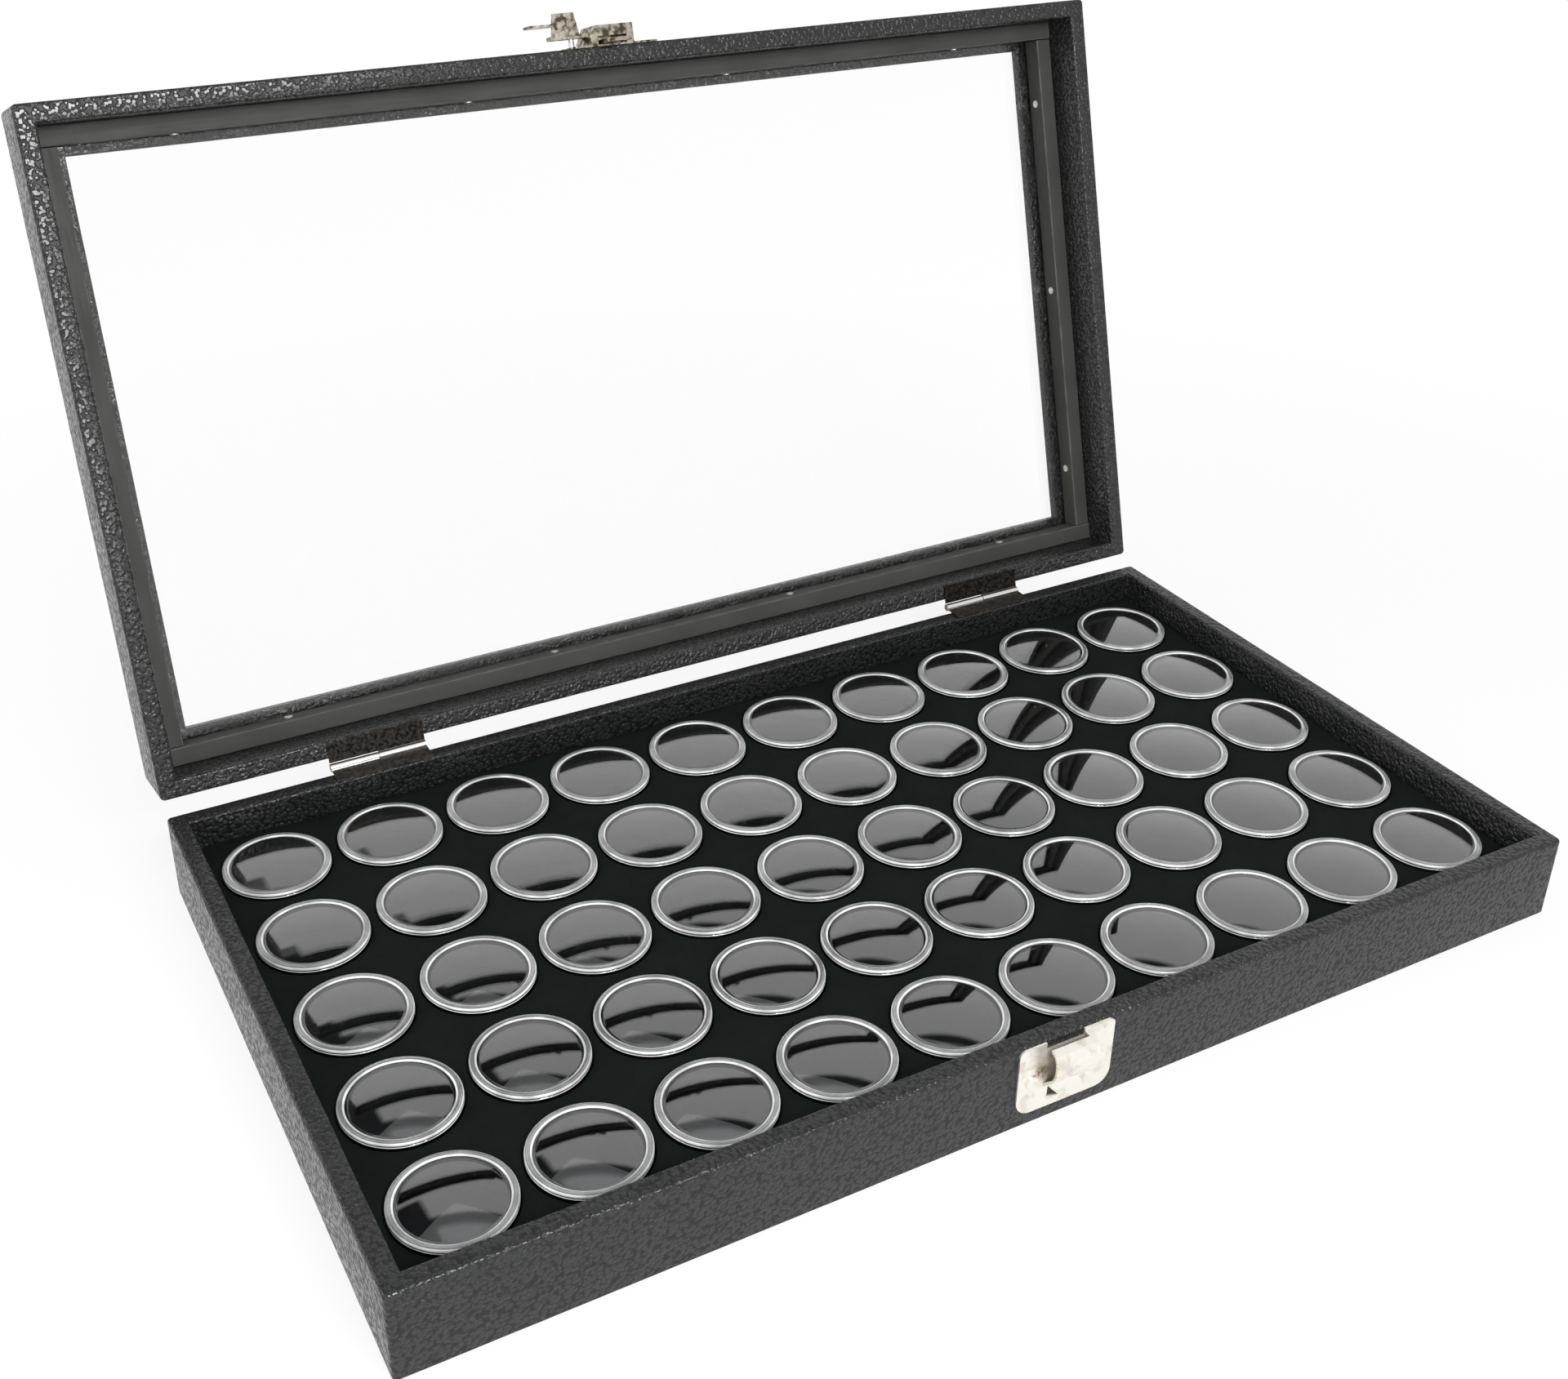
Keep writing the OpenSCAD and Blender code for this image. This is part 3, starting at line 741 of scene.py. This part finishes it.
def base_covering(material, dull):
    """Leatherette skin over the base walls, with soft edges, open below, and with painted shade inside
    the back: a less glossy copy of the leatherette on the inner back wall.
    """
    section = rounded([
        (0.0, SHEET_T, HEM_R),
        (0.0, BASE_H, EDGE_R),
        (WALL_T, BASE_H, EDGE_R),
        (WALL_T, PANEL_TOP, 0.0),
        (WALL_T - WRAP_T, PANEL_TOP, 0.0),
        (WALL_T - WRAP_T, BASE_H - WRAP_T, 0.0),
        (WRAP_T, BASE_H - WRAP_T, 0.0),
        (WRAP_T, SHEET_T, 0.0),
    ])
    obj = piece("base_covering", *ring_sweep(section), material, "case")
    press_in(obj)
    obj.data.materials.append(dull)
    # Painted shade: the inner back wall gets the less glossy copy, which renders it darker.
    for face in obj.data.polygons:
        if face.normal.y < -FACING and face.center.y > 0:
            face.material_index = 1
    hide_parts("base_wrap")


def lid_covering(material):
    """Leatherette skin round the lid's rails: rim, walls, border and the edge of the window."""
    top = RIM_Z + LID_H
    outside = rounded([
        (0.0, RIM_Z, EDGE_R),
        (0.0, top, EDGE_R),
        (BORDER_W, top, EDGE_R),
        (BORDER_W, top - BORDER_T, WINDOW_EDGE_R),
        (WALL_T, top - BORDER_T, 0.0),
        (WALL_T, RIM_Z, EDGE_R),
    ])
    rails = [
        (WRAP_T, RIM_Z + WRAP_T),
        (WRAP_T, top - WRAP_T),
        (BORDER_W - WRAP_T, top - WRAP_T),
        (BORDER_W - WRAP_T, top - BORDER_T + WRAP_T),
        (WALL_T - WRAP_T, top - BORDER_T + WRAP_T),
        (WALL_T - WRAP_T, RIM_Z + WRAP_T),
    ]
    verts, faces = ring_sweep(outside)
    hollow_verts, hollow_faces = ring_sweep(rails)
    outside_count = len(faces)
    faces += [tuple(i + len(verts) for i in face) for face in hollow_faces]
    obj = piece("lid_covering", verts + hollow_verts, faces, material, "lid", opened())
    for face in obj.data.polygons[outside_count:]:
        face.flip()
    press_in(obj)
    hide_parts("lid_wrap")


# Foam insert

def cell_centre(column, row):
    """Middle of one capsule's place, seen from above."""
    return (column - (COLUMNS - 1) / 2) * PITCH_X, ((ROWS - 1) / 2 - row) * PITCH_Y


def cell_boundary(column, row):
    """Points round one cell of the insert, evenly spaced on each side."""
    cx, cy = cell_centre(column, row)
    left = -FOAM_HALF_W if column == 0 else cx - PITCH_X / 2
    right = FOAM_HALF_W if column == COLUMNS - 1 else cx + PITCH_X / 2
    high = FOAM_HALF_D if row == 0 else cy + PITCH_Y / 2
    low = -FOAM_HALF_D if row == ROWS - 1 else cy - PITCH_Y / 2
    corners = [(left, low), (right, low), (right, high), (left, high)]
    points = []
    for first, second in zip(corners, corners[1:] + corners[:1]):
        points += [between(first, second, i / CELL_STEPS) for i in range(CELL_STEPS)]
    return points


def foam_swell(x, y):
    """Slight unevenness of the insert's top."""
    return FOAM_SWELL * noise.noise(Vector((x, y, 0)) * FOAM_WAVES)


def foam_drop(x, y):
    """How far a cell's edge lies below the insert's top: more on the insert's outer edge."""
    outer = abs(abs(x) - FOAM_HALF_W) < ON_EDGE or abs(abs(y) - FOAM_HALF_D) < ON_EDGE
    return FOAM_SOFT_R if outer else -foam_swell(x, y)


def foam_cell(column, row):
    """Rings of one cell of the insert: side, top, rounded hole edge, hole wall and underside."""
    centre = cell_centre(column, row)
    edge = cell_boundary(column, row)
    angles = [math.atan2(y - centre[1], x - centre[0]) for x, y in edge]
    top = PANEL_TOP + FOAM_T
    rings = [at_level(edge, PANEL_TOP)]
    rings.append([(x, y, top - foam_drop(x, y)) for x, y in edge])
    hole_edge = on_circle(centre, HOLE_R + FOAM_SOFT_R, angles)
    for share in FOAM_TOP_SHARES:
        ring = [between(outer, inner, share) for outer, inner in zip(edge, hole_edge)]
        rings.append([(x, y, top + foam_swell(x, y)) for x, y in ring])
    for k in range(FOAM_BEND_STEPS + 1):
        bend = math.radians(90 * k / FOAM_BEND_STEPS)
        radius = HOLE_R + FOAM_SOFT_R * (1 - math.sin(bend))
        level = top - FOAM_SOFT_R * (1 - math.cos(bend))
        rings.append(at_level(on_circle(centre, radius, angles), level))
    rings.append(at_level(on_circle(centre, HOLE_R, angles), PANEL_TOP))
    rings.append(rings[0])
    return rings


def outer_walls(edge, start):
    """Side walls of a cell, only where the cell lies on the insert's outer edge."""
    around = len(edge)
    walls = []
    for wall in band(start, start + around, around):
        first, second = edge[wall[0] - start], edge[wall[1] - start]
        for axis, half in ((0, FOAM_HALF_W), (1, FOAM_HALF_D)):
            outer = abs(abs(first[axis]) - half) < ON_EDGE
            if outer and abs(first[axis] - second[axis]) < ON_EDGE:
                walls.append(wall)
    return walls


def foam_insert(material):
    """Foam sheet with fifty round holes whose edges are soft."""
    verts = []
    faces = []
    for column in range(COLUMNS):
        for row in range(ROWS):
            rings = foam_cell(column, row)
            start = len(verts)
            around = len(rings[0])
            for ring in rings:
                verts += ring
            faces += outer_walls(rings[0], start)
            for k in range(1, len(rings) - 1):
                faces += band(start + k * around, start + (k + 1) * around, around)
    obj = piece("foam_insert_soft", verts, faces, material, "insert", sharp=FOAM_SHARP_ANGLE)
    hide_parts("foam_insert_left", "foam_insert_right")


# Capsules

def row_places(row):
    """Where the capsules of a row stand."""
    return [(*cell_centre(column, row), PANEL_TOP) for column in range(COLUMNS)]


def mark_faces(obj, material, places, inner, outer, level):
    """Gives a material to the faces between two radii and above a level."""
    obj.data.materials.append(material)
    index = len(obj.data.materials) - 1
    for face in obj.data.polygons:
        x, y, z = face.center / MM
        column = round(x / PITCH_X + (COLUMNS - 1) / 2)
        px, py, pz = places[column]
        if inner < math.hypot(x - px, y - py) < outer and z - pz > level:
            face.material_index = index


def jar_profile():
    """Round clear jar with a rounded foot and rim."""
    profile = [(0.0, 0.0)]
    profile += arc((CAPSULE_R - JAR_FOOT_R, JAR_FOOT_R), JAR_FOOT_R, -90, 0, steps=5)
    profile += arc((CAPSULE_R - JAR_RIM_R, JAR_TOP - JAR_RIM_R), JAR_RIM_R, 0, 90, steps=5)
    profile += arc((JAR_R + JAR_MOUTH_R, JAR_TOP - JAR_MOUTH_R), JAR_MOUTH_R, 90, 180, steps=3)
    profile += arc((JAR_R - JAR_INSIDE_R, JAR_FLOOR + JAR_INSIDE_R), JAR_INSIDE_R, 0, -90, steps=4)
    profile.append((0.0, JAR_FLOOR))
    return profile


def dome_line(level, radius):
    """Points of the domed window from the middle out, the crown at a level."""
    radii = [radius * i / DOME_STEPS for i in range(DOME_STEPS + 1)]
    return [(r, level - DOME_RISE * (r / DOME_R) ** 2) for r in radii]


def cap_profile():
    """Clear lid: plug below, a rounded lip round the edge and a domed window of even thickness."""
    seat = JAR_TOP + CAP_PLAY
    profile = dome_line(CAPSULE_H - DOME_T, DOME_R - DOME_STEP_IN)
    profile += arc((PLUG_R - PLUG_EDGE_R, PLUG_LOW + PLUG_EDGE_R), PLUG_EDGE_R, -90, 0, steps=3)
    profile.append((PLUG_R, seat))
    profile += arc((CAPSULE_R - LIP_LOW_R, seat + LIP_LOW_R), LIP_LOW_R, -90, 0, steps=4)
    profile += arc((CAPSULE_R - LIP_HIGH_R, LIP_TOP - LIP_HIGH_R), LIP_HIGH_R, 0, 90, steps=6)
    profile += arc((DOME_R + LIP_GAP + LIP_IN_R, LIP_TOP - LIP_IN_R), LIP_IN_R, 90, 150, steps=5)
    profile += dome_line(CAPSULE_H, DOME_R)[::-1]
    return profile


def pad_profile():
    """Soft round pad with a slightly crowned top."""
    top = JAR_FLOOR + PAD_T
    shoulder = (PAD_R - PAD_SHOULDER_R, top - PAD_CROWN - PAD_SHOULDER_R)
    profile = [(0.0, JAR_FLOOR)]
    profile += arc((PAD_R - PAD_FOOT_R, JAR_FLOOR + PAD_FOOT_R), PAD_FOOT_R, -90, 0, steps=3)
    profile += arc(shoulder, PAD_SHOULDER_R, 0, 80, steps=4)
    for i in range(PAD_STEPS - 1, -1, -1):
        r = (PAD_R - PAD_CROWN_IN) * i / PAD_STEPS
        profile.append((r, top - PAD_CROWN * (r / PAD_R) ** 2))
    return profile


def capsules(plastic, rim, core, foam):
    """Jars, pads and lids, one piece for each row."""
    jar = lathe(jar_profile())
    pad = lathe(pad_profile(), PAD_SIDES)
    cap = lathe(cap_profile())
    for row in range(ROWS):
        number = row + 1
        body = f"capsules_row_{number}"
        places = row_places(row)
        jars = piece(f"jars_row_{number}", *repeated(*jar, places), plastic, body)
        # Painted light: the thick edges of jars and lids get the pale rim materials.
        mark_faces(jars, rim, places, CAPSULE_R - JAR_BAND_IN, BEYOND_R, JAR_TOP - JAR_BAND_H)
        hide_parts(f"capsule_jars_row_{number}")
        pads = piece(f"pads_row_{number}", *repeated(*pad, places), foam, body)
        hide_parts(f"capsule_pads_row_{number}")
        caps = piece(f"caps_row_{number}", *repeated(*cap, places), plastic, f"caps_row_{number}")
        mark_faces(caps, rim, places, DOME_R, BEYOND_R, JAR_TOP + LIP_BAND_UP)
        mark_faces(caps, core, places, DOME_R + CORE_IN, CAPSULE_R - CORE_OUT, LIP_TOP - CORE_DOWN)
        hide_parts(f"capsule_lids_row_{number}")


# Strips

def closed_box(name):
    """Low and high corner of one of the lid's nodes with the lid closed, in millimetres."""
    obj = nodes[name]
    closing = opened().inverted() @ obj.matrix_world
    points = [closing @ vertex.co / MM for vertex in obj.data.vertices]
    low = [min(point[k] for point in points) for k in range(3)]
    high = [max(point[k] for point in points) for k in range(3)]
    return low, high


def rounded_bar(low, high, along):
    """Bar between two corners, with rounded edges along one axis and flat ends."""
    first, second = [k for k in range(3) if k != along]
    corners = [(low, low), (high, low), (high, high), (low, high)]
    outline = rounded([(a[first], b[second], STRIP_EDGE_R) for a, b in corners])
    verts = []
    for end in (low[along], high[along]):
        for a, b in outline:
            point = [end, end, end]
            point[first] = a
            point[second] = b
            verts.append(tuple(point))
    count = len(outline)
    ends = [tuple(range(count)), tuple(range(count, 2 * count))]
    return verts, ends + band(0, count, count)


def glass_strips():
    """Painted strips that hold the glass, with rounded edges that are paler: partly rubbed paint, partly
    a painted highlight.
    """
    level = strip_material("dark_strip", (BRUSH_STRETCH, 1, 1))
    upright = strip_material("dark_strip_upright", (1, 1, BRUSH_STRETCH))
    edge = strip_edge_material()
    closing = opened().inverted().to_3x3()
    sides = {"front": (0, level), "back": (0, level), "left": (1, upright), "right": (1, upright)}
    for side, (along, paint) in sides.items():
        low, high = closed_box(f"glass_strip_{side}")
        obj = piece(f"strip_{side}", *rounded_bar(low, high, along), paint, "lid", opened())
        obj.data.materials.append(edge)
        for face in obj.data.polygons:
            if max(abs(share) for share in closing @ face.normal) < FLAT_SHARE:
                face.material_index = 1
        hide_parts(f"glass_strip_{side}")


# Nodes that stay as the frame has them

def finish_node(name, material):
    """Gives a node its one material."""
    obj = nodes[name]
    obj.data.materials.clear()
    obj.data.materials.append(material)


def kept_nodes():
    """Materials for the nodes that stay."""
    wood = wood_material()
    lid_hinge = hinge_material("hinge_steel", (0.007, 0.0068, 0.0065), (0.042, 0.037, 0.032))
    base_hinge = hinge_material("hinge_steel_base", (0.035, 0.032, 0.028), (0.13, 0.117, 0.1))
    nickel = nickel_material("nickel", [])
    catch = nickel_material("nickel_catch", CATCH_STAINS_AND_SHADE)
    worn = worn_nickel_material()
    for side in ("front", "back", "left", "right"):
        finish_node(f"base_{side}_wall", wood)
        finish_node(f"lid_{side}_rail", wood)
    finish_node("bottom_panel", board_material())
    finish_node("underside_sheet", paper_material())
    finish_node("lid_glass", glass_material())
    for side in ("left", "right"):
        finish_node(f"{side}_hinge_base_leaf", base_hinge)
        finish_node(f"{side}_hinge_lid_leaf", lid_hinge)
        finish_node(f"{side}_hinge_pin", base_hinge)
    finish_node("strip_brads", steel_material())
    finish_node("base_hinge_brads", base_hinge)
    finish_node("lid_hinge_brads", lid_hinge)
    finish_node("catch_plate", catch)
    for name in ("latch_plate", "latch_slider"):
        finish_node(name, worn)
    for name in ("catch_nails", "latch_nails", "latch_rivet"):
        finish_node(name, nickel)


# Stage

def background_share(tree):
    """1 for rays that see the background directly, in gloss or through glass."""
    rays = add(tree, "ShaderNodeLightPath").outputs
    seen = number_math(tree, "MAXIMUM", rays["Is Camera Ray"], rays["Is Glossy Ray"])
    return number_math(tree, "MAXIMUM", seen, rays["Is Transmission Ray"])


def floor():
    """Pale floor that keeps a soft shadow near the case and is white further out."""
    mesh = bpy.data.meshes.new("floor")
    corners = [(sx * FLOOR_REACH, sy * FLOOR_REACH, 0) for sx, sy in ((-1, -1), (1, -1), (1, 1), (-1, 1))]
    mesh.from_pydata(corners, [], [(0, 1, 2, 3)])
    obj = bpy.data.objects.new("floor", mesh)
    bpy.context.scene.collection.objects.link(obj)
    material, tree, shader = new_material("floor")
    set_inputs(tree, shader, Base_Color=(0.93, 0.93, 0.93, 1), Roughness=0.9, Specular_IOR_Level=0.0)
    white = add(tree, "ShaderNodeEmission", Strength=1.0)
    whiteness = remap(tree, vector_math(tree, "LENGTH", place(tree)), FLOOR_FADE, FLOOR_WHITENESS)
    share = number_math(tree, "MULTIPLY", background_share(tree), whiteness)
    show_mix(tree, share, shader, white, "Material Output")
    mesh.materials.append(material)


def surround_gloss(tree):
    """Studio in reflections: a white sweep, a gap above it and a dark corner on the left."""
    ray = add(tree, "ShaderNodeTexCoord").outputs["Generated"]
    parts = add(tree, "ShaderNodeSeparateXYZ", Vector=ray).outputs
    sweep = ramp(tree, parts["Z"], [
        (0.785, WHITE),
        (0.798, STUDIO_DARK),
        (0.828, STUDIO_DARK),
        (0.85, STUDIO_ABOVE),
    ])
    corner = ramp(tree, parts["Z"], [(0.675, WHITE), (0.69, STUDIO_DARK)])
    front = ramp(tree, parts["Z"], [(0.1, WHITE), (0.3, STUDIO_FRONT), (0.8, STUDIO_FRONT), (1.0, WHITE)])
    right = remap(tree, parts["X"], (0.05, 0.08), FULL_SPAN)
    behind = remap(tree, parts["Y"], (0.0, 0.12), FULL_SPAN)
    return mixed(tree, behind, front, mixed(tree, right, corner, sweep))


def world():
    """White studio surround: full white where it is seen, softer where it lights."""
    studio = bpy.data.worlds.new("studio")
    bpy.context.scene.world = studio
    studio.use_nodes = True
    tree = studio.node_tree
    light = tree.nodes["Background"]
    set_inputs(tree, light, Color=(0.97, 0.985, 1.0, 1), Strength=SURROUND_LIGHT)
    in_gloss = add(tree, "ShaderNodeLightPath").outputs["Is Glossy Ray"]
    shade = mixed(tree, in_gloss, WHITE, surround_gloss(tree))
    seen = add(tree, "ShaderNodeBackground", Strength=1.0, Color=shade)
    show_mix(tree, background_share(tree), light, seen, "World Output")


def aim(at, towards):
    """Turn that points a light or the camera from one place towards another."""
    return (Vector(towards) - Vector(at)).to_track_quat("-Z", "Y")


def lights():
    """Soft boxes: two beside the camera, one on the left, one above."""
    for name, (at, towards, size, watts) in LIGHTS.items():
        data = bpy.data.lights.new(name, "AREA")
        data.shape = "RECTANGLE"
        data.size, data.size_y = size
        data.energy = watts
        obj = bpy.data.objects.new(name, data)
        obj.location = at
        obj.rotation_euler = aim(at, towards).to_euler()
        obj.visible_glossy = name != NOT_IN_GLOSS
        bpy.context.scene.collection.objects.link(obj)


def camera():
    """Camera that sees the case as the photograph does."""
    data = bpy.data.cameras.new("camera")
    data.sensor_width = CAMERA_SENSOR
    data.lens = CAMERA_LENS
    data.shift_x, data.shift_y = CAMERA_SHIFT
    data.clip_start = CAMERA_CLIP
    obj = bpy.data.objects.new("camera", data)
    look = aim(CAMERA_PLACE, CAMERA_TARGET).to_matrix().to_4x4()
    roll = Matrix.Rotation(math.radians(CAMERA_ROLL), 4, "Z")
    obj.matrix_world = Matrix.Translation(CAMERA_PLACE) @ look @ roll
    bpy.context.scene.collection.objects.link(obj)
    bpy.context.scene.camera = obj


def main():
    """Stage first, then the pieces, then the nodes that stay."""
    bpy.context.scene.view_settings.view_transform = "Standard"
    camera()
    world()
    lights()
    floor()
    leatherette = leatherette_material("leatherette", specular=0.45)
    # Less glossy copy of the leatherette: painted shade for the base's inner back wall.
    dull = leatherette_material("leatherette_painted_shade", specular=0.15)
    foam = foam_material()
    plastic = plastic_material()
    rim = rim_material("plastic_rim_painted_light", tint=(0.93, 0.94, 0.93), clearness=0.2)
    core = rim_material("plastic_rim_core_painted_light", tint=(0.72, 0.73, 0.73), clearness=0.72)
    base_covering(leatherette, dull)
    lid_covering(leatherette)
    foam_insert(foam)
    capsules(plastic, rim, core, foam)
    glass_strips()
    kept_nodes()


main()
